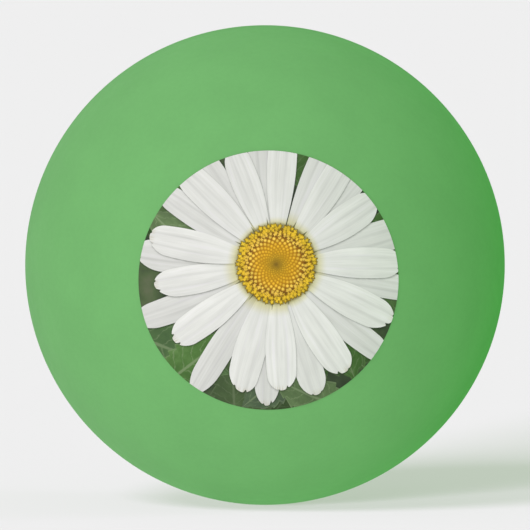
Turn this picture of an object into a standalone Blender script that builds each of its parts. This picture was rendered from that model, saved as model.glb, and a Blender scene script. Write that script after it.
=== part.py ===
"""A seamed table tennis ball, 40 mm across, with a round picture printed on its front half.

The frame: the origin is the centre of the ball, +Z is up, and the picture faces -Y. The seam between the two
half shells lies in the XZ plane. Every piece is turned about the picture's axis, so each is drawn as a profile
in its own XZ plane, with local +Z pointing at the picture, and hangs on an empty that lays +Z along -Y.
Lengths are in metres, and the angles along a profile are measured from local +Z.
"""

import math

import bpy

# Driving dimensions
BALL_RADIUS = 0.020
WALL = 0.00051  # a 2.7 g ball of ABS has a wall of about half a millimetre
LIP = 0.00025  # thickness of the lip that the front half slides into the rear half
CEMENT = 0.00006  # thickness of the solvent cement in the joint
CEMENT_RECESS = 0.00005  # how far the cement stays below the ball's surface
INK_COAT = 0.00002  # thickness of each coat of ink

# Bonded pieces keep these gaps, so that each one stays a solid of its own
BOND_GAP = 0.00002
INK_GAP = 0.00001

# All the pieces share one set of rings and segments, so their facets lie parallel across each gap
SEGMENTS = 48
RINGS_POLE_TO_SEAM = 22
SEAM = math.radians(90)
RING_STEP = SEAM / RINGS_POLE_TO_SEAM
PRINT_EDGE = 8 * RING_STEP  # makes the picture 21.6 mm across
LIP_ROOT = SEAM - RING_STEP
LIP_TIP = SEAM + RING_STEP
WALL_ABOVE_LIP = LIP_ROOT - RING_STEP  # the front half's wall thickens from here to the lip's root
BEAD_END = LIP_TIP + 0.15 * RING_STEP

# Radii and heights that follow from them
INNER_RADIUS = BALL_RADIUS - WALL
CEMENT_OUTER_RADIUS = INNER_RADIUS - BOND_GAP
CEMENT_INNER_RADIUS = CEMENT_OUTER_RADIUS - CEMENT
LIP_OUTER_RADIUS = CEMENT_INNER_RADIUS - BOND_GAP
LIP_INNER_RADIUS = LIP_OUTER_RADIUS - LIP
BEAD_INNER_RADIUS = LIP_OUTER_RADIUS - 0.6 * LIP
RIM_HEIGHT = CEMENT / 2 + BOND_GAP

GREEN = (0.168, 0.462, 0.156)
CEMENT_GREEN = (0.205, 0.440, 0.190)
INK_WHITE = (0.800, 0.812, 0.780)
PICTURE = (0.620, 0.640, 0.560)  # the daisy's average colour

MERGE_DISTANCE = 0.000001
SHARP_ANGLE = math.radians(40)


def clear_scene():
    for obj in list(bpy.data.objects):
        bpy.data.objects.remove(obj)


def plastic(name, colour, roughness):
    """A Principled material for a moulded plastic, a cement or an ink."""
    material = bpy.data.materials.new(name)
    material.use_nodes = True
    shader = material.node_tree.nodes["Principled BSDF"]
    shader.inputs["Base Color"].default_value = (*colour, 1.0)
    shader.inputs["Roughness"].default_value = roughness
    shader.inputs["Metallic"].default_value = 0.0
    material.diffuse_color = (*colour, 1.0)
    return material


def on_sphere(radius, angle):
    """The (x, z) of a point at this angle from the picture's axis. At the poles x is exactly 0."""
    x = 0.0 if angle in (0.0, math.pi) else radius * math.sin(angle)
    return (x, radius * math.cos(angle))


def angle_at_height(radius, height):
    """Where a sphere of this radius passes through a height above the seam."""
    return math.acos(height / radius)


def arc(radius, start, end):
    """Points on a sphere from start to end, with one on each of the shared rings in between."""
    low, high = min(start, end), max(start, end)
    rings = [i * RING_STEP for i in range(2 * RINGS_POLE_TO_SEAM + 1)]
    margin = 0.01 * RING_STEP
    between = [angle for angle in rings if low + margin < angle < high - margin]
    angles = [low, *between, high]
    if start > end:
        angles.reverse()
    return [on_sphere(radius, angle) for angle in angles]


def frozen(obj):
    """Replaces the object's mesh with what its modifiers make of it, and shades it smooth up to sharp edges."""
    graph = bpy.context.evaluated_depsgraph_get()
    mesh = bpy.data.meshes.new_from_object(obj.evaluated_get(graph))
    profile = obj.data
    obj.modifiers.clear()
    obj.data = mesh
    bpy.data.meshes.remove(profile)
    mesh.name = obj.name
    mesh.shade_smooth()
    mesh.set_sharp_from_angle(angle=SHARP_ANGLE)
    return obj


def turned(name, profile, is_ring, material, collection, centre):
    """A solid turned from a profile of (x, z) points. A ring's profile closes on itself, clear of the axis."""
    edges = [(i, i + 1) for i in range(len(profile) - 1)]
    if is_ring:
        edges.append((len(profile) - 1, 0))
    mesh = bpy.data.meshes.new(name + "_profile")
    mesh.from_pydata([(x, 0.0, z) for x, z in profile], edges, [])
    mesh.materials.append(material)
    obj = bpy.data.objects.new(name, mesh)
    obj.parent = centre
    collection.objects.link(obj)
    screw = obj.modifiers.new("Turn", "SCREW")
    screw.axis = "Z"
    screw.steps = SEGMENTS
    screw.render_steps = SEGMENTS
    screw.use_merge_vertices = True
    screw.merge_threshold = MERGE_DISTANCE
    return frozen(obj)


def front_half_profile():
    """A cup round the +Z pole. Inside its rim, a lip runs on past the seam into the rear half."""
    outside = arc(BALL_RADIUS, 0.0, angle_at_height(BALL_RADIUS, RIM_HEIGHT))
    lip_outside = arc(LIP_OUTER_RADIUS, angle_at_height(LIP_OUTER_RADIUS, RIM_HEIGHT), LIP_TIP)
    lip_inside = arc(LIP_INNER_RADIUS, LIP_TIP, LIP_ROOT)
    inside = arc(INNER_RADIUS, WALL_ABOVE_LIP, 0.0)
    return outside + lip_outside + lip_inside + inside


def rear_half_profile():
    """A cup round the -Z pole, with a plain rim."""
    inside = arc(INNER_RADIUS, math.pi, angle_at_height(INNER_RADIUS, -RIM_HEIGHT))
    outside = arc(BALL_RADIUS, angle_at_height(BALL_RADIUS, -RIM_HEIGHT), math.pi)
    return inside + outside


def cement_profile():
    """A film between the rims, one between the lip and the rear wall, and a bead squeezed out past the lip."""
    edge = BALL_RADIUS - CEMENT_RECESS
    half = CEMENT / 2
    rim_film = [
        on_sphere(edge, angle_at_height(edge, half)),
        on_sphere(edge, angle_at_height(edge, -half)),
    ]
    lap_outside = arc(CEMENT_OUTER_RADIUS, angle_at_height(CEMENT_OUTER_RADIUS, -half), BEAD_END)
    bead_top = LIP_TIP + BOND_GAP / CEMENT_INNER_RADIUS
    bead = [on_sphere(BEAD_INNER_RADIUS, bead_top)]
    lap_inside = [
        on_sphere(CEMENT_INNER_RADIUS, bead_top),
        on_sphere(CEMENT_INNER_RADIUS, SEAM),
        on_sphere(CEMENT_INNER_RADIUS, angle_at_height(CEMENT_INNER_RADIUS, half)),
    ]
    return rim_film + lap_outside + bead + lap_inside


def ink_profile(inner_radius):
    """A round coat of ink on the +Z pole."""
    top = arc(inner_radius + INK_COAT, 0.0, PRINT_EDGE)
    underside = arc(inner_radius, PRINT_EDGE, 0.0)
    return top + underside


def build():
    clear_scene()
    collection = bpy.data.collections.new("table_tennis_ball")
    bpy.context.scene.collection.children.link(collection)

    centre = bpy.data.objects.new("ball_centre", None)
    centre.empty_display_size = BALL_RADIUS
    centre.rotation_euler = (math.radians(90), 0.0, 0.0)
    collection.objects.link(centre)

    shell_plastic = plastic("green_abs", GREEN, 0.5)
    cement = plastic("solvent_cement", CEMENT_GREEN, 0.35)
    white_ink = plastic("white_ink", INK_WHITE, 0.5)
    picture_ink = plastic("picture_ink", PICTURE, 0.45)

    white_radius = BALL_RADIUS + INK_GAP
    picture_radius = white_radius + INK_COAT + INK_GAP
    turned("front_half_shell", front_half_profile(), False, shell_plastic, collection, centre)
    turned("rear_half_shell", rear_half_profile(), False, shell_plastic, collection, centre)
    turned("seam_cement", cement_profile(), True, cement, collection, centre)
    turned("print_white_base", ink_profile(white_radius), False, white_ink, collection, centre)
    turned("print_colour_film", ink_profile(picture_radius), False, picture_ink, collection, centre)


build()
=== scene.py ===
"""The looks of a table tennis ball with a daisy printed on its front.

Two green half shells meet at a cemented seam in the XZ plane. The round print faces -Y. Its lowest coat is
white ink, over that lies a dark ground, and then come leaves, petals and florets, each a thin sheet of ink
laid on the ones below. The daisy is drawn flat, with x to the right and z up, and then laid on the sphere.
Lengths are in metres, and angles along a turned profile are measured from the axis of the print.
"""

import math
import random

import bmesh
import bpy
import numpy as np
from mathutils import Matrix, Vector


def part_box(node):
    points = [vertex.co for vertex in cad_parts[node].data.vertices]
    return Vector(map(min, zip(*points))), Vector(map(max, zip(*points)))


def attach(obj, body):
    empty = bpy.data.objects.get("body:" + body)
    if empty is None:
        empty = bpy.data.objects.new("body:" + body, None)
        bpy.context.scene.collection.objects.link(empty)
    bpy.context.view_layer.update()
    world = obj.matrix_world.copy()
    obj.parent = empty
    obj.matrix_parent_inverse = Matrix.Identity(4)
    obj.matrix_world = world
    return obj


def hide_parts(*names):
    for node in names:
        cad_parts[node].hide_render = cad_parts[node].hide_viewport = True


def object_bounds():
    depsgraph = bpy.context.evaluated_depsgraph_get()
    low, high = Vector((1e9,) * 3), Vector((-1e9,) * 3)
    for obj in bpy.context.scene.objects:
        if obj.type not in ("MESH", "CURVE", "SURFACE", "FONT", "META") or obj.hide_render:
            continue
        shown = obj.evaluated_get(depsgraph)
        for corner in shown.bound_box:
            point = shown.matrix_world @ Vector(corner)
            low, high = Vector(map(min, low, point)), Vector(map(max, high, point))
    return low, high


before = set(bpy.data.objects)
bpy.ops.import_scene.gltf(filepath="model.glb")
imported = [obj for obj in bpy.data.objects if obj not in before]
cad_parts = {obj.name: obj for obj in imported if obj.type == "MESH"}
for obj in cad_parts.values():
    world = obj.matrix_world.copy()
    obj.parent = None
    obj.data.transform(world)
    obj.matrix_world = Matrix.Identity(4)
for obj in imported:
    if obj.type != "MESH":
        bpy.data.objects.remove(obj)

cad_low, cad_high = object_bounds()

MM = 0.001
MICRON = 0.000001


# ---------------------------------------------------------------- sizes, from the frame


def distances(node):
    """The least and the greatest distance of a node's points from the centre of the ball."""
    points = np.array([vertex.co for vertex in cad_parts[node].data.vertices])
    lengths = np.linalg.norm(points, axis=1)
    return float(lengths.min()), float(lengths.max())


INNER_RADIUS, BALL_RADIUS = distances("rear_half_shell")
LIP_INNER_RADIUS = distances("front_half_shell")[0]
BEAD_INNER_RADIUS, CEMENT_EDGE_RADIUS = distances("seam_cement")
WHITE_INNER_RADIUS, WHITE_OUTER_RADIUS = distances("print_white_base")
FILM_INNER_RADIUS, FILM_OUTER_RADIUS = distances("print_colour_film")
RIM_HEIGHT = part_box("rear_half_shell")[0].y
LIP_TIP_HEIGHT = -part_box("front_half_shell")[1].y
BEAD_END_HEIGHT = -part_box("seam_cement")[1].y
CEMENT_HALF_HEIGHT = -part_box("seam_cement")[0].y
PRINT_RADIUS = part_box("print_colour_film")[1].x
FLOOR_HEIGHT = cad_low.z

BOND_GAP = RIM_HEIGHT - CEMENT_HALF_HEIGHT
CEMENT_OUTER_RADIUS = INNER_RADIUS - BOND_GAP
CEMENT_INNER_RADIUS = CEMENT_OUTER_RADIUS - 2 * CEMENT_HALF_HEIGHT
LIP_OUTER_RADIUS = CEMENT_INNER_RADIUS - BOND_GAP

# ---------------------------------------------------------------- the fineness of the meshes

RIM_FILLET = 0.04 * MM
FILLET_TURNS = (0, 30, 60, 90)  # degrees
SEGMENTS = 256
SEAM_ANGLE = math.pi / 2
ARC_STEP = math.radians(1.0)
SHARP_ANGLE = math.radians(40)
MERGE = 0.05 * MICRON

# ---------------------------------------------------------------- the daisy's design

SEED = 11
FLOWER_X = 0.055 * PRINT_RADIUS
FLOWER_Z = 0.143 * PRINT_RADIUS
DISC_RADIUS = 0.305 * PRINT_RADIUS
GOLDEN_ANGLE = math.pi * (3.0 - math.sqrt(5.0))
LIGHT_X, LIGHT_Z = -0.35, 0.94  # where the light comes from in the picture
# painted light: the petals are made a little lighter towards this side of the ball
PAINTED_LIGHT_SIDE = (0.75, 0.0, -0.65)  # towards which the petals get a little lighter

SHEET = 0.7 * MICRON  # thickness of one sheet of ink
LAYER_STEP = 1.2 * MICRON  # from one sheet to the next
FLORET_DOME = 8 * MICRON  # how far a floret's middle stands above its edge

LEAVES = 24
LEAF_REACH = (0.98, 1.25)  # from the print's centre to the leaf's root, as a share of PRINT_RADIUS
LEAF_LENGTH = (0.55, 0.90)
LEAF_HALF_WIDTH = (0.16, 0.23)
LEAF_TURN = 0.7  # how far a leaf may point away from the print's centre, in radians
LEAF_SWEEP = 0.05  # how far its sides run ahead of its midrib, as a share of its length
LEAF_CURVE = 0.12  # how far its tip may bend aside
LEAF_TEETH = (7, 10)
TOOTH_DEPTH = 0.20
LOWEST_LEAF, TOP_LEAF = 0.46, 1.12  # brightness

PETALS_PER_RING = 13
PETAL_ROOT = 0.75 * DISC_RADIUS
PETAL_JITTER = 0.17  # as a share of the angle between two petals
BACK_REACH, FRONT_REACH = (1.03, 1.22), (0.89, 1.11)  # as a share of PRINT_RADIUS
BACK_WIDTH, FRONT_WIDTH = (0.196, 0.250), (0.204, 0.262)
BACK_BRIGHTNESS, FRONT_BRIGHTNESS = (0.86, 0.92), (0.95, 1.01)
SHADE_STEPS = ((0.06, 3.0), (0.14, 2.4), (0.24, 1.6), (0.38, 1.0))  # mm towards the light, and the weight
SHADE_FAN = (-40, 0, 40)  # degrees to each side of the light
CONTACT_SHADE = (0.09, 1.2)  # the same for a ring of places all round
CONTACT_PLACES = 8
DISC_SHADE = 0.70  # how much the florets darken the petals that they lie on
DISC_SHADE_REACH = 0.20 * MM

BUD_ZONE = 0.70 * DISC_RADIUS
BUD_SPREAD = 1.25  # above 0.5, the spiral's buds grow outwards
FIRST_BUD, LAST_BUD = 36, 330
BUD_SIZE = 0.56  # as a share of the space between two buds
BUD_LOBES, OPEN_LOBES = 0, (4, 5, 5)
LOBE_DEPTH = 0.30
BUD_STRETCH, OPEN_STRETCH = 1.08, 1.25  # outwards
FLORET_LEAN = 0.30  # how far a floret's middle lies towards the light, as a share of its size
OPEN_SIZE = (0.044, 0.068)  # as a share of DISC_RADIUS, like the rings' radii
OPEN_RINGS = ((0.735, 38), (0.785, 43), (0.835, 48), (0.89, 51), (0.945, 56))  # radius, florets
RING_JITTER = 0.03
BED_RADIUS = 0.93 * DISC_RADIUS

SPIKE_ROOT = 0.92 * DISC_RADIUS
SPIKE_LENGTH = (0.14, 0.30)  # as a share of DISC_RADIUS
SPIKE_HALF_WIDTH = (0.022, 0.052)

# ---------------------------------------------------------------- the studio, in linear light

PLASTIC_GREEN = (0.1820, 0.4860, 0.1610, 1.0)
PLASTIC_SHEEN = 0.10
INK_SHEEN = 0.15

FLOOR_HALF_WIDTH = 3.0
FLOOR_TONE = 0.867
FLOOR_ALBEDO = 0.08
FLOOR_GLOW = (0.448, 0.520, 0.422, 1.0)
FAR_SIDE = (0.85, 0.5, 0.0)
FAR_REACH = 2 * BALL_RADIUS
FAR_DROP, FAR_GREEN_DROP = 0.61, 0.19
# a painted shadow of the ball in the floor's glow, which only the ball sees
PAINTED_SHADOW_CENTRE = (0.6 * BALL_RADIUS, 0.1 * BALL_RADIUS, FLOOR_HEIGHT)
PAINTED_SHADOW_REACH = 1.8 * BALL_RADIUS
PAINTED_SHADOW_DROP, PAINTED_SHADOW_GREEN_DROP = 0.24, 0.05

SIDE_GLOW = 0.110
LAMPS = (  # the direction that the light comes from, and its strength
    ((-0.7, 0.7, 0.0), 0.300),
    ((-0.7, -0.7, 0.0), 0.731),
    ((0.0, -1.0, 0.0), 0.960),
    ((0.0, 0.0, 1.0), 0.779),
)
GREEN_LAMP = ((0.60, 0.80, 0.0), 0.620)
SHADOW_COLOUR = (0.930, 0.725, 1.0)
SHADOW_LAMPS = (  # where the light goes, the lamp's height and width, all in degrees, and its strength
    (63, 5.2, 10.2, 61.5),
    (54.5, 34.8, 22, 14.6),
    (180, 18, 16, 3.5),
)

CAMERA_AZIMUTH = math.radians(-0.99)
CAMERA_ELEVATION = math.radians(4.29)
CAMERA_DISTANCE = 0.30
BALL_SHARE_OF_FRAME = 0.905


# ---------------------------------------------------------------- node graphs


def rgb(red, green, blue):
    """A linear colour from sRGB values of 0 to 255."""
    linear = []
    for value in (red, green, blue):
        share = value / 255
        linear.append(share / 12.92 if share <= 0.04045 else ((share + 0.055) / 1.055) ** 2.4)
    return (*linear, 1.0)


class Graph:
    """Adds nodes to a tree, one call at a time."""

    def __init__(self, tree):
        self.tree = tree

    def feed(self, socket, value):
        """Links a socket to another one, or sets its value."""
        if isinstance(value, bpy.types.NodeSocket):
            self.tree.links.new(value, socket)
        elif socket.type == "VECTOR":
            socket.default_value = value[:3]
        else:
            socket.default_value = value

    def position(self):
        return self.tree.nodes.new("ShaderNodeTexCoord").outputs["Object"]

    def attribute(self, name):
        node = self.tree.nodes.new("ShaderNodeAttribute")
        node.attribute_name = name
        return node.outputs["Fac"]

    def vector(self, x, y, z):
        node = self.tree.nodes.new("ShaderNodeCombineXYZ")
        for socket, value in zip(node.inputs, (x, y, z)):
            self.feed(socket, value)
        return node.outputs[0]

    def split(self, vector):
        node = self.tree.nodes.new("ShaderNodeSeparateXYZ")
        self.feed(node.inputs[0], vector)
        return node.outputs

    def math(self, operation, first, second=0.0):
        node = self.tree.nodes.new("ShaderNodeMath")
        node.operation = operation
        self.feed(node.inputs[0], first)
        self.feed(node.inputs[1], second)
        return node.outputs[0]

    def plus(self, first, second):
        return self.math("ADD", first, second)

    def minus(self, first, second):
        return self.math("SUBTRACT", first, second)

    def times(self, first, second):
        return self.math("MULTIPLY", first, second)

    def between(self, value, start, end, low=0.0, high=1.0):
        """A value eased from low to high as another goes from start to end."""
        node = self.tree.nodes.new("ShaderNodeMapRange")
        node.interpolation_type = "SMOOTHSTEP"
        for name, number in (("From Min", start), ("From Max", end), ("To Min", low), ("To Max", high)):
            self.feed(node.inputs[name], number)
        self.feed(node.inputs["Value"], value)
        return node.outputs["Result"]

    def noise(self, vector, scale, detail=2.0, roughness=0.5):
        node = self.tree.nodes.new("ShaderNodeTexNoise")
        self.feed(node.inputs["Vector"], vector)
        self.feed(node.inputs["Scale"], scale)
        self.feed(node.inputs["Detail"], detail)
        self.feed(node.inputs["Roughness"], roughness)
        return node.outputs["Fac"]

    def varied(self, noise, low, high):
        """A value from low to high that follows a noise, which lies mostly between 0.3 and 0.7."""
        return self.between(noise, 0.3, 0.7, low, high)

    def mix(self, factor, first, second):
        node = self.tree.nodes.new("ShaderNodeMix")
        node.data_type = "RGBA"
        self.feed(node.inputs[0], factor)
        self.feed(node.inputs[6], first)
        self.feed(node.inputs[7], second)
        return node.outputs[2]

    def scaled(self, colour, factor):
        """A colour made lighter or darker by a factor."""
        node = self.tree.nodes.new("ShaderNodeVectorMath")
        node.operation = "SCALE"
        self.feed(node.inputs[0], colour)
        self.feed(node.inputs["Scale"], factor)
        return node.outputs[0]

    def ramp(self, value, stops):
        node = self.tree.nodes.new("ShaderNodeValToRGB")
        self.feed(node.inputs[0], value)
        elements = node.color_ramp.elements
        while len(elements) < len(stops):
            elements.new(0.5)
        for element, (place, colour) in zip(elements, stops):
            element.position = place
            element.color = colour
        return node.outputs[0]

    def along(self, vector, direction):
        """How far a vector reaches along a direction."""
        node = self.tree.nodes.new("ShaderNodeVectorMath")
        node.operation = "DOT_PRODUCT"
        self.feed(node.inputs[0], vector)
        self.feed(node.inputs[1], Vector(direction).normalized())
        return node.outputs["Value"]

    def distance(self, vector, point):
        node = self.tree.nodes.new("ShaderNodeVectorMath")
        node.operation = "DISTANCE"
        self.feed(node.inputs[0], vector)
        self.feed(node.inputs[1], point)
        return node.outputs["Value"]

    def colour(self, red, green, blue):
        node = self.tree.nodes.new("ShaderNodeCombineColor")
        for socket, value in zip(node.inputs, (red, green, blue)):
            self.feed(socket, value)
        return node.outputs[0]


class Finish(Graph):
    """A new material with one Principled shader."""

    def __init__(self, name):
        self.material = bpy.data.materials.new(name)
        self.material.use_nodes = True
        super().__init__(self.material.node_tree)
        self.shader = self.tree.nodes["Principled BSDF"]

    def surface(self, name, value):
        self.feed(self.shader.inputs[name], value)

    def bump(self, height, distance, strength):
        node = self.tree.nodes.new("ShaderNodeBump")
        self.feed(node.inputs["Height"], height)
        self.feed(node.inputs["Distance"], distance)
        self.feed(node.inputs["Strength"], strength)
        self.surface("Normal", node.outputs[0])


# ---------------------------------------------------------------- materials of the shells and the cement


def shell_plastic():
    """Green ABS, finely sanded, with faint clouds and specks. It is darker where the wall is doubled."""
    graph = Finish("shell_green_abs")
    place = graph.position()
    clouds = graph.varied(graph.noise(place, scale=220.0, detail=4.0, roughness=0.55), 0.975, 1.02)
    specks = graph.varied(graph.noise(place, scale=2600.0, roughness=0.6), -0.012, 0.012)
    from_seam = graph.math("ABSOLUTE", graph.split(place)[1])
    lap = graph.between(from_seam, 0.4 * MM, 1.6 * MM, low=0.955, high=1.0)
    graph.surface("Base Color", graph.scaled(PLASTIC_GREEN, graph.times(graph.plus(clouds, specks), lap)))
    scuffs = graph.noise(place, scale=900.0, detail=3.0)
    graph.surface("Roughness", graph.varied(scuffs, 0.50, 0.58))
    graph.surface("Specular IOR Level", PLASTIC_SHEEN)
    sanding = graph.noise(place, scale=5200.0, detail=3.0, roughness=0.6)
    graph.bump(sanding, distance=2.2 * MICRON, strength=0.7)
    return graph.material


def cement_plastic():
    """Solvent cement, set hard and a little paler than the shell."""
    graph = Finish("seam_solvent_cement")
    place = graph.position()
    streaks = graph.noise(place, scale=1500.0, detail=3.0, roughness=0.6)
    graph.surface("Base Color", graph.mix(streaks, rgb(88, 152, 84), rgb(112, 170, 106)))
    graph.surface("Roughness", graph.varied(streaks, 0.28, 0.40))
    graph.bump(graph.noise(place, scale=2400.0, detail=3.0), distance=6 * MICRON, strength=0.6)
    return graph.material


# ---------------------------------------------------------------- materials of the print


def ink_grain(graph):
    """A fine grain that every ink shares."""
    return graph.noise(graph.position(), scale=4200.0, roughness=0.6)


def picture_ink(graph, colour):
    """A material of the picture, in this colour. All of them share one satin surface."""
    grain = ink_grain(graph)
    graph.surface("Base Color", colour)
    graph.surface("Roughness", graph.varied(grain, 0.44, 0.54))
    graph.surface("Specular IOR Level", INK_SHEEN)
    graph.bump(grain, distance=1.2 * MICRON, strength=0.4)
    return graph.material


def white_ink():
    """The coat under the picture, with a faint grain."""
    graph = Finish("ink_white_base")
    grain = ink_grain(graph)
    graph.surface("Base Color", graph.mix(grain, rgb(226, 229, 224), rgb(238, 240, 236)))
    graph.surface("Roughness", graph.varied(grain, 0.46, 0.56))
    graph.bump(grain, distance=1.5 * MICRON, strength=0.5)
    return graph.material


def ground_ink():
    """The dark, out-of-focus undergrowth behind the leaves."""
    graph = Finish("ink_undergrowth")
    blurred = graph.noise(graph.position(), scale=330.0, detail=3.0, roughness=0.55)
    stops = [
        (0.30, rgb(46, 54, 42)),
        (0.48, rgb(62, 76, 54)),
        (0.60, rgb(80, 98, 64)),
        (0.74, rgb(98, 106, 80)),
    ]
    lit = graph.between(graph.attribute("shade"), 0.0, 0.9, low=1.0, high=0.55)
    return picture_ink(graph, graph.scaled(graph.ramp(blurred, stops), lit))


def leaf_ink():
    """Green leaves, each of its own tone, and paler along the rim, the midrib and the side veins."""
    graph = Finish("ink_leaves")
    across = graph.attribute("across")
    along = graph.attribute("along")
    seed = graph.attribute("seed")
    stretched = graph.vector(across, graph.times(along, 3.0), graph.times(seed, 9.0))
    mottle = graph.noise(stretched, scale=1.6, detail=5.0, roughness=0.62)
    blade = graph.ramp(mottle, [(0.28, rgb(48, 62, 42)), (0.5, rgb(74, 98, 58)), (0.72, rgb(106, 132, 86))])
    own = graph.ramp(seed, [(0.0, rgb(112, 132, 94)), (0.5, rgb(78, 130, 48)), (1.0, rgb(98, 114, 96))])
    blade = graph.mix(0.48, blade, own)

    from_midrib = graph.math("ABSOLUTE", across)
    waver = graph.times(graph.noise(stretched, scale=4.0), 5.0)
    slant = graph.minus(graph.times(along, 52.0), graph.times(from_midrib, 8.0))
    veins = graph.between(graph.math("SINE", graph.plus(slant, waver)), 0.88, 1.0, low=0.0, high=0.34)
    midrib = graph.between(from_midrib, 0.03, 0.08, low=0.55, high=0.0)
    rim = graph.between(from_midrib, 0.91, 0.99, low=0.0, high=0.40)
    pale = graph.math("MAXIMUM", graph.math("MAXIMUM", veins, midrib), rim)
    blade = graph.mix(pale, blade, rgb(136, 154, 116))

    lit = graph.between(graph.attribute("shade"), 0.0, 0.9, low=1.0, high=0.42)
    lit = graph.times(lit, graph.attribute("brightness"))
    return picture_ink(graph, graph.scaled(blade, lit))


def petal_ink():
    """White petals, greyer where another petal shades them, greenish at the root and withered at the tip."""
    graph = Finish("ink_petals")
    across = graph.attribute("across")
    along = graph.attribute("along")
    offset = graph.times(graph.attribute("seed"), 40.0)
    rib_place = graph.vector(graph.times(across, 3.4), graph.times(along, 0.9), offset)
    hair_place = graph.vector(graph.times(across, 11.0), graph.times(along, 1.1), offset)
    patch_place = graph.vector(across, graph.times(along, 2.2), offset)
    ribs = graph.noise(rib_place, scale=1.5, detail=4.0, roughness=0.62)
    hairs = graph.noise(hair_place, scale=1.7, roughness=0.6)
    patches = graph.noise(patch_place, scale=1.3)
    value = petal_value(graph, ribs, hairs, patches)

    lilac = graph.times(graph.between(ribs, 0.5, 0.75), 0.40)
    colour = graph.scaled(graph.mix(lilac, rgb(240, 240, 235), rgb(236, 231, 239)), value)
    shadow = graph.between(graph.attribute("shade"), 0.0, 0.95, low=0.0, high=0.86)
    colour = graph.mix(shadow, colour, graph.scaled(rgb(146, 148, 141), value))
    withered = graph.times(graph.between(along, 0.93, 1.0), graph.between(hairs, 0.46, 0.60, high=0.55))
    colour = graph.mix(withered, colour, graph.scaled(rgb(196, 184, 148), value))
    root = graph.between(graph.attribute("root"), 0.0, 1.0, low=0.72, high=0.0)
    colour = graph.mix(root, colour, graph.scaled(rgb(214, 206, 126), value))
    return picture_ink(graph, graph.mix(graph.attribute("under_disc"), colour, rgb(104, 92, 36)))


def petal_value(graph, ribs, hairs, patches):
    """How light a petal is at each point, by its ribs, hairs, patches and folds, and by how it faces, with
    painted light that makes it lighter towards the lower right of the ball.
    """
    value = graph.between(ribs, 0.28, 0.72, low=0.925, high=1.035)
    value = graph.plus(value, graph.varied(patches, -0.04, 0.02))
    value = graph.plus(value, graph.between(hairs, 0.25, 0.48, low=-0.055, high=0.0))
    value = graph.minus(value, graph.times(graph.attribute("fold"), 0.10))
    value = graph.plus(value, graph.times(graph.attribute("relief"), 0.045))
    value = graph.times(value, graph.attribute("brightness"))
    # painted light, lighter towards one side of the ball
    painted_light = graph.along(graph.position(), PAINTED_LIGHT_SIDE)
    return graph.times(value, graph.between(painted_light, -PRINT_RADIUS, PRINT_RADIUS, low=0.955, high=1.037))


def floret_ink():
    """The yellow eye: olive at the centre, golden further out, with brown gaps towards the open florets."""
    graph = Finish("ink_florets")
    ripeness = graph.attribute("ripeness")
    bloom = graph.attribute("bloom")
    gap = graph.ramp(
        ripeness,
        [
            (0.00, rgb(128, 100, 30)),
            (0.16, rgb(172, 132, 26)),
            (0.32, rgb(192, 140, 22)),
            (0.50, rgb(188, 132, 22)),
            (0.65, rgb(160, 108, 22)),
            (0.74, rgb(114, 74, 20)),
            (0.84, rgb(136, 100, 20)),
            (1.00, rgb(114, 100, 26)),
        ],
    )
    bud = graph.ramp(
        ripeness,
        [
            (0.00, rgb(134, 108, 34)),
            (0.16, rgb(194, 154, 38)),
            (0.32, rgb(222, 172, 40)),
            (0.50, rgb(240, 188, 50)),
            (0.65, rgb(255, 214, 86)),
            (0.74, rgb(250, 206, 84)),
            (0.84, rgb(244, 200, 50)),
            (1.00, rgb(238, 204, 56)),
        ],
    )
    bud = graph.scaled(bud, graph.between(graph.attribute("seed"), 0.0, 1.0, low=0.84, high=1.10))
    colour = graph.mix(graph.between(bloom, 0.05, 0.72), gap, bud)
    mouth = graph.times(graph.attribute("open"), graph.between(bloom, 0.80, 0.97))
    return picture_ink(graph, graph.mix(graph.times(mouth, 0.55), colour, rgb(150, 98, 26)))


def spike_ink():
    """Dark olive slits that fade to the petals' grey at their tips."""
    graph = Finish("ink_spikes")
    dark = graph.mix(ink_grain(graph), rgb(72, 74, 26), rgb(96, 92, 40))
    return picture_ink(graph, graph.mix(graph.attribute("along"), dark, rgb(140, 140, 108)))


# ---------------------------------------------------------------- shells and seam


def on_sphere(radius, angle):
    """The (x, z) of a point at this angle from the axis. At the poles x is exactly 0."""
    x = 0.0 if angle in (0.0, math.pi) else radius * math.sin(angle)
    return (x, radius * math.cos(angle))


def angle_at_height(radius, height):
    """Where a sphere of this radius passes through a height above the seam."""
    return math.acos(height / radius)


def arc(radius, start, end):
    """Points on a sphere from start to end, about ARC_STEP apart."""
    count = max(1, round(abs(end - start) / ARC_STEP))
    return [on_sphere(radius, start + (end - start) * i / count) for i in range(count + 1)]


def fillet(radius, height, side):
    """A rim's rounded outer edge, from the sphere to its face. The wall is above it (1) or below it (-1)."""
    centre_x = radius - RIM_FILLET
    centre_z = height + side * RIM_FILLET
    points = []
    for turn in map(math.radians, FILLET_TURNS):
        x = centre_x + RIM_FILLET * math.cos(turn)
        points.append((x, centre_z - side * RIM_FILLET * math.sin(turn)))
    return points


def finished(obj):
    """Applies the object's modifiers and shades it smooth up to sharp edges."""
    graph = bpy.context.evaluated_depsgraph_get()
    evaluated = obj.evaluated_get(graph)
    mesh = bpy.data.meshes.new_from_object(evaluated, preserve_all_data_layers=True, depsgraph=graph)
    before = obj.data
    obj.modifiers.clear()
    obj.data = mesh
    bpy.data.meshes.remove(before)
    mesh.name = obj.name
    mesh.shade_smooth()
    mesh.set_sharp_from_angle(angle=SHARP_ANGLE)
    return obj


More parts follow.
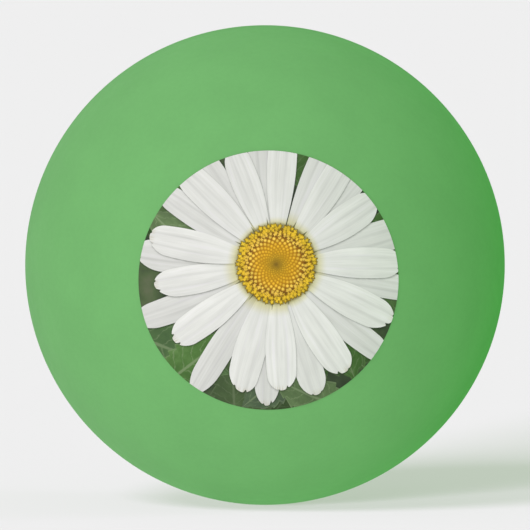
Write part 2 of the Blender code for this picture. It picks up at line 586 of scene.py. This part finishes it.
def turned(name, profile, is_ring, material):
    """A piece turned from a profile of (x, z) points, then laid down so that its axis points along -Y."""
    edges = [(i, i + 1) for i in range(len(profile) - 1)]
    if is_ring:
        edges.append((len(profile) - 1, 0))
    mesh = bpy.data.meshes.new(name)
    mesh.from_pydata([(x, 0.0, z) for x, z in profile], edges, [])
    mesh.materials.append(material)
    obj = bpy.data.objects.new(name, mesh)
    bpy.context.scene.collection.objects.link(obj)
    screw = obj.modifiers.new("Turn", "SCREW")
    screw.axis = "Z"
    screw.steps = SEGMENTS
    screw.render_steps = SEGMENTS
    screw.use_merge_vertices = True
    screw.merge_threshold = MICRON / 2
    finished(obj)
    obj.data.transform(Matrix.Rotation(math.radians(90), 4, "X"))
    return obj


def front_shell_profile():
    """A cup with a lip inside its rim. A short taper inside the wall leads to the lip."""
    wall_end = angle_at_height(BALL_RADIUS, RIM_HEIGHT + RIM_FILLET)
    outside = arc(BALL_RADIUS, 0.0, wall_end)[:-1] + fillet(BALL_RADIUS, RIM_HEIGHT, 1)
    lip_tip = angle_at_height(LIP_OUTER_RADIUS, LIP_TIP_HEIGHT)
    lip_root = 2 * SEAM_ANGLE - lip_tip
    lip_outside = arc(LIP_OUTER_RADIUS, angle_at_height(LIP_OUTER_RADIUS, RIM_HEIGHT), lip_tip)
    lip_inside = arc(LIP_INNER_RADIUS, lip_tip, lip_root)
    inside = arc(INNER_RADIUS, 2 * lip_root - SEAM_ANGLE, 0.0)
    return outside + lip_outside + lip_inside + inside


def rear_shell_profile():
    """A cup with a plain rim."""
    wall_start = angle_at_height(BALL_RADIUS, -RIM_HEIGHT - RIM_FILLET)
    inside = arc(INNER_RADIUS, math.pi, angle_at_height(INNER_RADIUS, -RIM_HEIGHT))
    edge = list(reversed(fillet(BALL_RADIUS, -RIM_HEIGHT, -1)))
    outside = arc(BALL_RADIUS, wall_start, math.pi)[1:]
    return inside + edge + outside


def cement_profile():
    """A film between the rims, one between the lip and the rear wall, and a bead pressed out past the lip."""
    half = CEMENT_HALF_HEIGHT
    rim_film = [
        on_sphere(CEMENT_EDGE_RADIUS, angle_at_height(CEMENT_EDGE_RADIUS, half)),
        on_sphere(CEMENT_EDGE_RADIUS, angle_at_height(CEMENT_EDGE_RADIUS, -half)),
    ]
    bead_end = angle_at_height(CEMENT_OUTER_RADIUS, BEAD_END_HEIGHT)
    lap_outside = arc(CEMENT_OUTER_RADIUS, angle_at_height(CEMENT_OUTER_RADIUS, -half), bead_end)
    bead_top = angle_at_height(CEMENT_INNER_RADIUS, LIP_TIP_HEIGHT) + BOND_GAP / CEMENT_INNER_RADIUS
    bead = [on_sphere(BEAD_INNER_RADIUS, bead_top)]
    lap_inside = arc(CEMENT_INNER_RADIUS, bead_top, angle_at_height(CEMENT_INNER_RADIUS, half))
    return rim_film + lap_outside + bead + lap_inside


def coat_profile(inner_radius, outer_radius):
    """A round coat of ink on the pole."""
    edge = math.asin(PRINT_RADIUS / FILM_OUTER_RADIUS)
    return arc(outer_radius, 0.0, edge) + arc(inner_radius, edge, 0.0)


# ---------------------------------------------------------------- sheets of ink


def on_ball(x, z, radius):
    """Lays flat points on the front of a sphere."""
    return np.stack([x, -np.sqrt(radius**2 - x**2 - z**2), z], axis=-1)


def from_flower(outwards, sideways, angle):
    """The flat x and z of a point that lies outwards from the flower's centre at an angle, then sideways."""
    cos, sin = math.cos(angle), math.sin(angle)
    return FLOWER_X + outwards * cos - sideways * sin, FLOWER_Z + outwards * sin + sideways * cos


class Patch:
    """A grid of flat points, each with a height above the ground film and values for the material."""

    def __init__(self, x, z, height, **values):
        self.x = x
        self.z = z
        self.height = np.broadcast_to(height, x.shape)
        self.values = {name: np.broadcast_to(value, x.shape) for name, value in values.items()}

    def clipped(self):
        """Pulls points outside the print in to its edge, and says which of them were outside."""
        reach = np.hypot(self.x, self.z)
        outside = reach > PRINT_RADIUS
        pull = np.where(outside, PRINT_RADIUS / np.maximum(reach, MICRON), 1.0)
        return self.x * pull, self.z * pull, outside

    def laid(self):
        """The points on the ball, and the faces between them on the print, turned to face outwards."""
        x, z, outside = self.clipped()
        points = on_ball(x, z, FILM_OUTER_RADIUS + self.height).reshape(-1, 3)
        faces = quads(*x.shape)
        faces = faces[~outside.reshape(-1)[faces].all(axis=1)]
        if len(faces):
            first_side = points[faces[:, 1]] - points[faces[:, 0]]
            last_side = points[faces[:, 3]] - points[faces[:, 0]]
            if np.cross(first_side, last_side)[:, 1].sum() > 0:
                faces = faces[:, ::-1]
        return points, faces


def quads(rows, columns):
    """The faces of a grid of points, as indices."""
    corner = np.arange(rows - 1)[:, None] * columns + np.arange(columns - 1)[None, :]
    return np.stack([corner, corner + 1, corner + columns + 1, corner + columns], axis=-1).reshape(-1, 4)


def ink_sheets(name, patches, material, thickness=SHEET):
    """One object of many thin sheets of ink, each a closed slab as thick as one coat."""
    points, faces, values = [], [], {key: [] for key in patches[0].values}
    count = 0
    for patch in patches:
        placed, grid = patch.laid()
        points.append(placed)
        faces.append(grid + count)
        count += len(placed)
        for key in values:
            values[key].append(patch.values[key].reshape(-1))
    mesh = bpy.data.meshes.new(name)
    mesh.from_pydata(np.concatenate(points).tolist(), [], np.concatenate(faces).tolist())
    for key, parts in values.items():
        layer = mesh.attributes.new(key, "FLOAT", "POINT")
        layer.data.foreach_set("value", np.concatenate(parts).astype(np.float32))
    weld(mesh)
    mesh.materials.append(material)
    obj = bpy.data.objects.new(name, mesh)
    bpy.context.scene.collection.objects.link(obj)
    solid = obj.modifiers.new("Coat", "SOLIDIFY")
    solid.thickness = thickness
    solid.offset = -1.0
    return finished(obj)


def weld(mesh):
    """Joins the points that lie on one another, and drops loose points and faces with no area."""
    work = bmesh.new()
    work.from_mesh(mesh)
    bmesh.ops.remove_doubles(work, verts=work.verts, dist=MERGE)
    bmesh.ops.dissolve_degenerate(work, edges=work.edges, dist=MERGE)
    loose = [vertex for vertex in work.verts if not vertex.link_faces]
    bmesh.ops.delete(work, geom=loose, context="VERTS")
    work.to_mesh(mesh)
    work.free()


# ---------------------------------------------------------------- petals


class Petal:
    """A tongue from under the flower's eye outwards. Two folds run along it and end in notches at its tip.

    A point of it is given by s, which goes across from -1 to 1, and t, which goes along from 0 to 1.
    """

    WIDEST = 0.62
    ROOT_WIDTH = 0.36  # as a share of the greatest width
    NARROWING = 0.16
    FOLD_WIDTH = 0.10
    NOTCH_WIDTH = 0.065
    COLUMNS = 41
    ROWS = 44

    def __init__(self, rng, angle, reach, width, brightness):
        self.angle = angle
        self.reach = reach
        self.width = width
        self.brightness = brightness
        self.bend = rng.uniform(-0.045, 0.045) * reach
        self.folds = (-rng.uniform(0.26, 0.42), rng.uniform(0.26, 0.42))
        self.notches = (rng.uniform(0.008, 0.04), rng.uniform(0.008, 0.04))
        self.round = rng.uniform(0.15, 0.21)
        self.skew = rng.uniform(-0.03, 0.03)
        self.root_tint = rng.uniform(0.45, 1.45)
        self.seed = rng.random()

    def half_width(self, t):
        grow = np.sin(0.5 * math.pi * np.clip(t / self.WIDEST, 0.0, 1.0))
        past = np.clip((t - self.WIDEST) / (1.0 - self.WIDEST), 0.0, 1.2)
        narrow = 1.0 - self.NARROWING * past**2
        return 0.5 * self.width * (self.ROOT_WIDTH + (1.0 - self.ROOT_WIDTH) * grow) * narrow

    def tip(self, s):
        """How far along the petal it ends, at each place across it."""
        end = 1.0 - self.round * (1.0 - np.sqrt(np.clip(1.0 - s**2, 0.0, 1.0))) + self.skew * s
        for fold, depth in zip(self.folds, self.notches):
            end = end - depth * np.exp(-(((s - fold) / self.NOTCH_WIDTH) ** 2))
        return end

    def place(self, s, t):
        """The flat x and z of a point."""
        outwards = PETAL_ROOT + t * (self.reach - PETAL_ROOT)
        sideways = s * self.half_width(t) + self.bend * t**2
        return from_flower(outwards, sideways, self.angle)

    def covers(self, x, z):
        """Says of each flat point whether the petal lies over it."""
        cos, sin = math.cos(self.angle), math.sin(self.angle)
        outwards = (x - FLOWER_X) * cos + (z - FLOWER_Z) * sin
        sideways = (z - FLOWER_Z) * cos - (x - FLOWER_X) * sin
        t = (outwards - PETAL_ROOT) / (self.reach - PETAL_ROOT)
        s = (sideways - self.bend * t**2) / self.half_width(t)
        return (t > 0.0) & (np.abs(s) < 1.0) & (t < self.tip(np.clip(s, -1.0, 1.0)))

    def patch(self, level, above):
        s = np.sin(0.5 * math.pi * np.linspace(-1.0, 1.0, self.COLUMNS))[None, :]
        t = np.linspace(0.0, 1.0, self.ROWS)[:, None] * self.tip(s)
        x, z = self.place(s, t)
        fold = sum(np.exp(-(((s - middle) / self.FOLD_WIDTH) ** 2)) for middle in self.folds)
        facing = -math.sin(self.angle) * LIGHT_X + math.cos(self.angle) * LIGHT_Z
        from_disc = np.hypot(x - FLOWER_X, z - FLOWER_Z) - DISC_RADIUS
        return Patch(
            x,
            z,
            level * LAYER_STEP,
            across=s,
            along=t,
            seed=self.seed,
            brightness=self.brightness,
            fold=fold * np.clip(t * 1.6, 0.0, 1.0),
            relief=s * facing,
            shade=shaded(x, z, above),
            root=np.clip(from_disc / (self.root_tint * MM), 0.0, 1.0),
            under_disc=DISC_SHADE * np.clip(1.0 - from_disc / DISC_SHADE_REACH, 0.0, 1.0) ** 1.5,
        )


def shade_taps():
    """Steps towards the light, and a few around the point, each with its share of the shade."""
    light = math.atan2(LIGHT_Z, LIGHT_X)
    taps = []
    for distance, weight in SHADE_STEPS:
        taps += [(distance, light + math.radians(turn), weight) for turn in SHADE_FAN]
    distance, weight = CONTACT_SHADE
    taps += [(distance, 2 * math.pi * i / CONTACT_PLACES, weight) for i in range(CONTACT_PLACES)]
    total = sum(weight for _, _, weight in taps)
    steps = []
    for distance, turn, weight in taps:
        steps.append((distance * MM * math.cos(turn), distance * MM * math.sin(turn), weight / total))
    return steps


SHADE_TAPS = shade_taps()


def shaded(x, z, above):
    """The share of the picture's light that the petals above keep off each point, from 0 to 1."""
    share = np.zeros(x.shape)
    for dx, dz, weight in SHADE_TAPS:
        hidden = np.zeros(x.shape, bool)
        for petal in above:
            hidden |= petal.covers(x + dx, z + dz)
        share += weight * hidden
    return share


def petal_ring(rng, phase, reach, width, brightness):
    """A ring of petals in the order in which they lie, lowest first."""
    petals = []
    for i in range(PETALS_PER_RING):
        angle = 2 * math.pi * (i + phase + rng.uniform(-PETAL_JITTER, PETAL_JITTER)) / PETALS_PER_RING
        own_reach = rng.uniform(*reach) * PRINT_RADIUS
        own_width = rng.uniform(*width) * PRINT_RADIUS
        petals.append(Petal(rng, angle, own_reach, own_width, rng.uniform(*brightness)))
    rng.shuffle(petals)
    return petals


# ---------------------------------------------------------------- leaves and undergrowth


def leaf_patch(rng, turn, brightness, level, above):
    """A toothed leaf that points in towards the flower from a place round the edge."""
    start = rng.uniform(*LEAF_REACH) * PRINT_RADIUS
    length = rng.uniform(*LEAF_LENGTH) * PRINT_RADIUS
    half = rng.uniform(*LEAF_HALF_WIDTH) * PRINT_RADIUS
    heading = turn + math.pi + rng.uniform(-LEAF_TURN, LEAF_TURN)
    teeth = rng.randint(*LEAF_TEETH)
    seed = rng.random()
    t = np.linspace(0.0, 1.0, 90)[:, None]
    s = np.linspace(-1.0, 1.0, 25)[None, :]
    saw = 1.0 - TOOTH_DEPTH * ((t * teeth) % 1.0)
    spread = half * np.sin(math.pi * np.clip(t, 0.02, 0.995) ** 0.75) * saw
    along = length * t + LEAF_SWEEP * length * np.abs(s)
    across = s * spread + LEAF_CURVE * length * rng.uniform(-1, 1) * t**2
    x = start * math.cos(turn) + along * math.cos(heading) - across * math.sin(heading)
    z = start * math.sin(turn) + along * math.sin(heading) + across * math.cos(heading)
    shade = shaded(x, z, above)
    return Patch(x, z, level * LAYER_STEP, across=s, along=t, seed=seed, brightness=brightness, shade=shade)


def leaf_patches(rng, above):
    """Leaves from all round the edge. The lower ones get less light."""
    patches = []
    for i in range(LEAVES):
        turn = i * GOLDEN_ANGLE + rng.uniform(-0.4, 0.4)
        brightness = LOWEST_LEAF + (TOP_LEAF - LOWEST_LEAF) * i / LEAVES + rng.uniform(-0.10, 0.10)
        patches.append(leaf_patch(rng, turn, brightness, 1 + i, above))
    return patches


def ground_patch(above):
    """The whole round of the print."""
    radius = PRINT_RADIUS * np.linspace(0.0, 1.0, 96)[:, None]
    turn = np.linspace(0.0, 2 * math.pi, SEGMENTS + 1)[None, :]
    x, z = radius * np.cos(turn), radius * np.sin(turn)
    return Patch(x, z, 0.0, shade=shaded(x, z, above))


# ---------------------------------------------------------------- the eye of the flower


def floret_patch(rng, distance, turn, size, lobes, level):
    """A bud seen from above, or with lobes an open floret. Its middle lies a little towards the light."""
    share = np.array([0.0, 0.3, 0.62, 0.86, 1.0])[:, None]
    around = np.linspace(0.0, 2 * math.pi, 21 if lobes else 13)[None, :]
    spin = rng.uniform(0.0, 2 * math.pi)
    outline = 1.0 + LOBE_DEPTH * np.cos(lobes * around + spin) if lobes else 1.0
    stretch = OPEN_STRETCH if lobes else BUD_STRETCH
    outwards = share * size * outline * np.cos(around) * stretch
    sideways = share * size * outline * np.sin(around)
    lean = (1.0 - share) * FLORET_LEAN * size
    x, z = from_flower(distance + outwards, sideways, turn)
    return Patch(
        x + lean * LIGHT_X,
        z + lean * LIGHT_Z,
        level * LAYER_STEP + FLORET_DOME * (1.0 - share**2),
        bloom=1.0 - share,
        ripeness=distance / DISC_RADIUS,
        open=1.0 if lobes else 0.0,
        seed=rng.random(),
    )


def floret_patches(rng, level):
    """Buds on a golden-angle spiral, growing outwards, inside rings of open florets that jostle for room."""
    patches = []
    for n in range(FIRST_BUD, LAST_BUD):
        distance = BUD_ZONE * (n / LAST_BUD) ** BUD_SPREAD
        size = BUD_SIZE * (distance * math.sqrt(2 * math.pi * BUD_SPREAD / n))
        patches.append(floret_patch(rng, distance, n * GOLDEN_ANGLE, size, BUD_LOBES, level))
    for ring, count in OPEN_RINGS:
        for i in range(count):
            turn = 2 * math.pi * (i + ring + rng.uniform(-0.3, 0.3)) / count
            distance = DISC_RADIUS * (ring + rng.uniform(-RING_JITTER, RING_JITTER))
            size = DISC_RADIUS * rng.uniform(*OPEN_SIZE)
            lobes = rng.choice(OPEN_LOBES)
            patches.append(floret_patch(rng, distance, turn, size, lobes, level + rng.uniform(1.0, 6.0)))
    return patches


def spike_patch(rng, turn, level):
    """The dark slit between the roots of two petals, running out from under the florets."""
    t = np.linspace(0.0, 1.0, 12)[:, None]
    s = np.linspace(-1.0, 1.0, 3)[None, :]
    length = rng.uniform(*SPIKE_LENGTH) * DISC_RADIUS
    half = rng.uniform(*SPIKE_HALF_WIDTH) * DISC_RADIUS
    outwards = SPIKE_ROOT + length * t
    sideways = s * half * (1.0 - t) + rng.uniform(-0.03, 0.03) * DISC_RADIUS * t
    x, z = from_flower(outwards, sideways, turn)
    return Patch(x, z, level * LAYER_STEP, along=t)


def eye_bed_patch(level):
    """The dark bed that shows between the florets."""
    radius = BED_RADIUS * np.linspace(0.0, 1.0, 24)[:, None]
    turn = np.linspace(0.0, 2 * math.pi, 97)[None, :]
    x, z = FLOWER_X + radius * np.cos(turn), FLOWER_Z + radius * np.sin(turn)
    return Patch(x, z, level * LAYER_STEP, bloom=0.0, ripeness=radius / DISC_RADIUS, open=0.0, seed=0.5)


# ---------------------------------------------------------------- the object


def add_piece(piece, slot, *nodes):
    """Makes a piece part of the ball, in place of the CAD nodes named."""
    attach(piece, "root")
    if nodes:
        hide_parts(*nodes)


def build_ball():
    plastic = shell_plastic()
    front = turned("ball_front_shell", front_shell_profile(), False, plastic)
    rear = turned("ball_rear_shell", rear_shell_profile(), False, plastic)
    cement = turned("ball_seam_cement", cement_profile(), True, cement_plastic())
    add_piece(front, "green_abs", "front_half_shell")
    add_piece(rear, "green_abs", "rear_half_shell")
    add_piece(cement, "solvent_cement", "seam_cement")


def build_print():
    """Lays the picture down from the white coat up to the florets, on one level after another."""
    rng = random.Random(SEED)
    coat = coat_profile(WHITE_INNER_RADIUS, WHITE_OUTER_RADIUS)
    add_piece(turned("print_white_coat", coat, False, white_ink()), "white_ink", "print_white_base")

    back = petal_ring(rng, 0.5, BACK_REACH, BACK_WIDTH, BACK_BRIGHTNESS)
    front = petal_ring(rng, 0.0, FRONT_REACH, FRONT_WIDTH, FRONT_BRIGHTNESS)
    petals = back + front
    film = FILM_OUTER_RADIUS - FILM_INNER_RADIUS
    ground = ink_sheets("print_ground", [ground_patch(petals)], ground_ink(), film)
    add_piece(ground, "picture_ink", "print_colour_film")
    add_piece(ink_sheets("print_leaves", leaf_patches(rng, petals), leaf_ink()), "picture_ink")

    level = LEAVES + 2
    white = petal_ink()
    patches = [petal.patch(level + i, petals[i + 1 :]) for i, petal in enumerate(petals)]
    add_piece(ink_sheets("print_petals_back", patches[: len(back)], white), "picture_ink")
    add_piece(ink_sheets("print_petals_front", patches[len(back) :], white), "picture_ink")

    level += len(petals) + 1
    slits = [petal.angle + math.pi / PETALS_PER_RING for petal in front]
    spikes = [spike_patch(rng, turn + rng.uniform(-0.05, 0.05), level) for turn in slits]
    add_piece(ink_sheets("print_spikes", spikes, spike_ink()), "picture_ink")

    level += 1
    yellow = floret_ink()
    add_piece(ink_sheets("print_eye_bed", [eye_bed_patch(level)], yellow), "picture_ink")
    add_piece(ink_sheets("print_florets", floret_patches(rng, level + 1), yellow), "picture_ink")


# ---------------------------------------------------------------- floor, light and camera


def build_floor():
    """A sheet of back-lit acrylic that the ball stands on. Its light reaches the ball from below."""
    mesh = bpy.data.meshes.new("floor")
    work = bmesh.new()
    bmesh.ops.create_grid(work, x_segments=1, y_segments=1, size=FLOOR_HALF_WIDTH)
    bmesh.ops.translate(work, verts=work.verts, vec=(0.0, 0.0, FLOOR_HEIGHT))
    work.to_mesh(mesh)
    work.free()
    floor = bpy.data.objects.new("floor", mesh)
    bpy.context.scene.collection.objects.link(floor)
    floor.visible_glossy = False
    mesh.materials.append(floor_acrylic())
    return floor


def floor_acrylic():
    """The camera sees it pale and even. To the ball its glow is dimmer close by, where a painted shadow of
    the ball lies, and green at the back right.
    """
    material = bpy.data.materials.new("floor_acrylic")
    material.use_nodes = True
    graph = Graph(material.node_tree)
    nodes = graph.tree.nodes
    nodes.clear()

    paper = nodes.new("ShaderNodeBsdfDiffuse")
    paper.inputs["Color"].default_value = (FLOOR_ALBEDO, FLOOR_ALBEDO, FLOOR_ALBEDO, 1.0)
    glow = nodes.new("ShaderNodeEmission")
    glow.inputs["Color"].default_value = FLOOR_GLOW
    seen = nodes.new("ShaderNodeAddShader")
    graph.feed(seen.inputs[0], paper.outputs[0])
    graph.feed(seen.inputs[1], glow.outputs[0])

    place = nodes.new("ShaderNodeNewGeometry").outputs["Position"]
    far_side = graph.between(graph.along(place, FAR_SIDE), 0.0, FAR_REACH)
    # painted shadow: the glow is darker near the ball
    under = graph.between(graph.distance(place, PAINTED_SHADOW_CENTRE), 0.0, PAINTED_SHADOW_REACH, low=1.0, high=0.0)
    white = dimmed(graph, far_side, FAR_DROP, under, PAINTED_SHADOW_DROP)
    green = dimmed(graph, far_side, FAR_GREEN_DROP, under, PAINTED_SHADOW_GREEN_DROP)
    bounce = nodes.new("ShaderNodeEmission")
    graph.feed(bounce.inputs["Color"], graph.colour(white, green, white))

    pick = nodes.new("ShaderNodeMixShader")
    graph.feed(pick.inputs[0], nodes.new("ShaderNodeLightPath").outputs["Is Camera Ray"])
    graph.feed(pick.inputs[1], bounce.outputs[0])
    graph.feed(pick.inputs[2], seen.outputs[0])
    graph.feed(nodes.new("ShaderNodeOutputMaterial").inputs["Surface"], pick.outputs[0])
    return material


def dimmed(graph, far_side, far_drop, under, shadow_drop):
    """The floor's tone, less at the far side and less again near the ball, where a painted shadow of the ball
    darkens it.
    """
    tone = graph.minus(FLOOR_TONE, graph.times(far_side, far_drop))
    return graph.minus(tone, graph.times(under, shadow_drop))


def build_world():
    """A studio of large soft lamps, each brightest in one direction. The camera sees one plain tone."""
    world = bpy.data.worlds.new("studio")
    bpy.context.scene.world = world
    world.use_nodes = True
    graph = Graph(world.node_tree)
    direction = graph.tree.nodes.new("ShaderNodeTexCoord").outputs["Generated"]
    leftward = graph.along(direction, (-1.0, 0.0, 0.0))
    white = graph.times(graph.plus(leftward, 1.0), SIDE_GLOW)
    for towards, strength in LAMPS:
        white = graph.plus(white, graph.times(lobe(graph, direction, towards), strength))
    towards, strength = GREEN_LAMP
    green = graph.plus(white, graph.times(lobe(graph, direction, towards), strength))
    studio = graph.colour(white, green, white)
    seen = graph.tree.nodes.new("ShaderNodeLightPath").outputs["Is Camera Ray"]
    backdrop = (FLOOR_TONE, FLOOR_TONE, FLOOR_TONE, 1.0)
    graph.feed(graph.tree.nodes["Background"].inputs["Color"], graph.mix(seen, studio, backdrop))


def lobe(graph, direction, towards):
    """A soft lamp: 1 straight towards it, fading to 0 at right angles."""
    facing = graph.math("MAXIMUM", graph.along(direction, towards), 0.0)
    return graph.math("POWER", facing, 2.0)


def build_shadow_lamps(floor):
    """Lamps for the floor alone. Two throw the ball's shadow back and right, and a weak one to the left."""
    lit = bpy.data.collections.new("lit_by_softboxes")
    lit.objects.link(floor)
    for heading, height, width, strength in SHADOW_LAMPS:
        light = bpy.data.lights.new("softbox", "SUN")
        light.energy = strength
        light.color = SHADOW_COLOUR
        light.angle = math.radians(width)
        lamp = bpy.data.objects.new("softbox", light)
        bpy.context.scene.collection.objects.link(lamp)
        turn = math.radians(heading)
        drop = math.radians(height)
        travel = Vector((math.cos(turn) * math.cos(drop), math.sin(turn) * math.cos(drop), -math.sin(drop)))
        lamp.rotation_mode = "QUATERNION"
        lamp.rotation_quaternion = travel.to_track_quat("-Z", "Y")
        lamp.light_linking.receiver_collection = lit


def build_camera():
    """A long view from the front, a few degrees above the table and a touch to the left."""
    level = math.cos(CAMERA_ELEVATION)
    back = Vector(
        (math.sin(CAMERA_AZIMUTH) * level, -math.cos(CAMERA_AZIMUTH) * level, math.sin(CAMERA_ELEVATION))
    )
    data = bpy.data.cameras.new("camera")
    data.type = "ORTHO"
    data.ortho_scale = 2 * BALL_RADIUS / BALL_SHARE_OF_FRAME
    data.clip_start = 1 * MM
    data.clip_end = 2 * FLOOR_HALF_WIDTH
    camera = bpy.data.objects.new("camera", data)
    bpy.context.scene.collection.objects.link(camera)
    camera.location = back * CAMERA_DISTANCE
    camera.rotation_mode = "QUATERNION"
    camera.rotation_quaternion = (-back).to_track_quat("-Z", "Y")
    bpy.context.scene.camera = camera


build_ball()
build_print()
build_shadow_lamps(build_floor())
build_world()
build_camera()
bpy.context.scene.view_settings.view_transform = "Standard"
